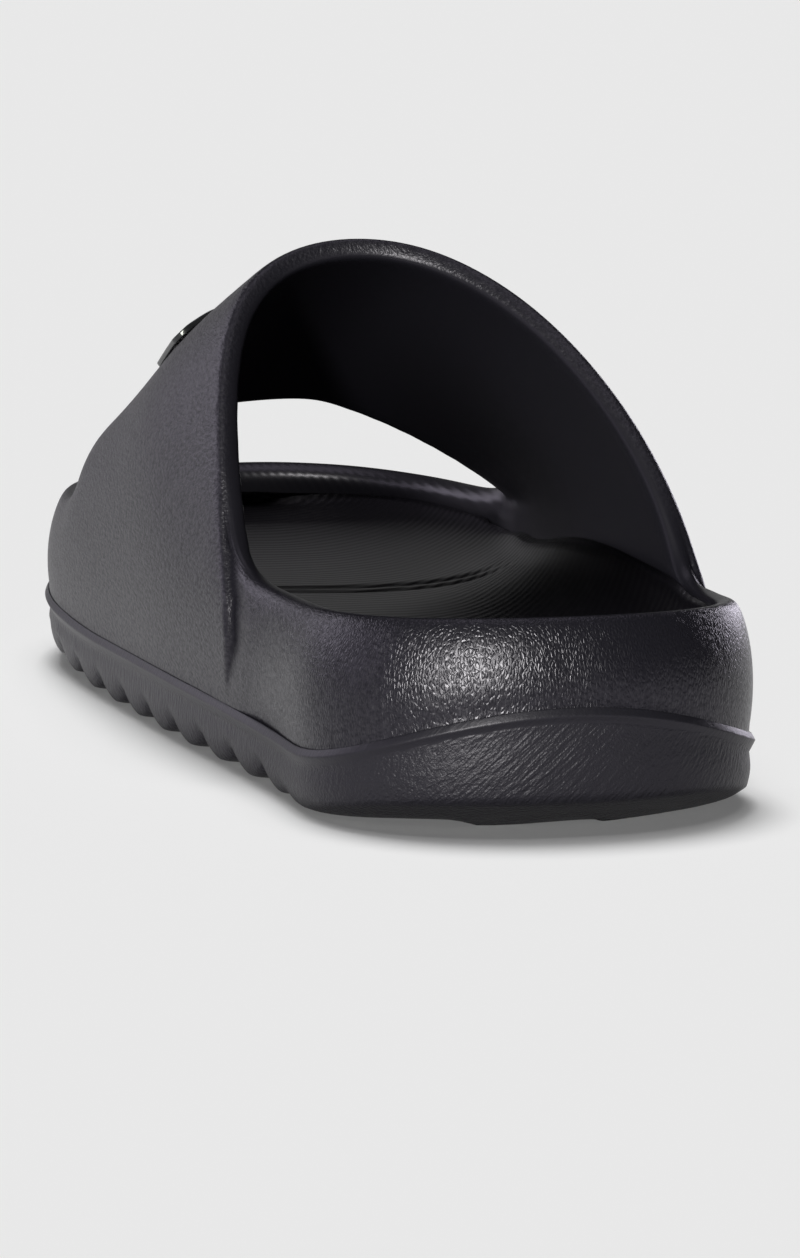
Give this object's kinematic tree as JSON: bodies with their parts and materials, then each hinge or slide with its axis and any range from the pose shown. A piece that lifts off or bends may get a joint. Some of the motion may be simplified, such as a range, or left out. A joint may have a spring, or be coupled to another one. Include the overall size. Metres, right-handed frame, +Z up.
{
  "type": "sport slide sandal",
  "caption": "Black moulded foam sport slide sandal for the left foot, with a wide strap, heel cup, open toe and a deep lugged outsole.",
  "frame": {"origin": "middle of the shoe's outline, on the floor plane", "axes": "+Z up, +Y from heel to toe, +X towards the medial side"},
  "size_m": [0.1106, 0.288, 0.1007],
  "materials": {
    "outsole_foam": "matte",
    "upper_foam": "satin",
    "insole_foam": "satin",
    "badge_plastic": "gloss"
  },
  "bodies": {
    "root": {"outsole": "outsole_foam", "upper": "upper_foam", "insole": "insole_foam", "badge": "badge_plastic"}
  },
  "joints": []
}
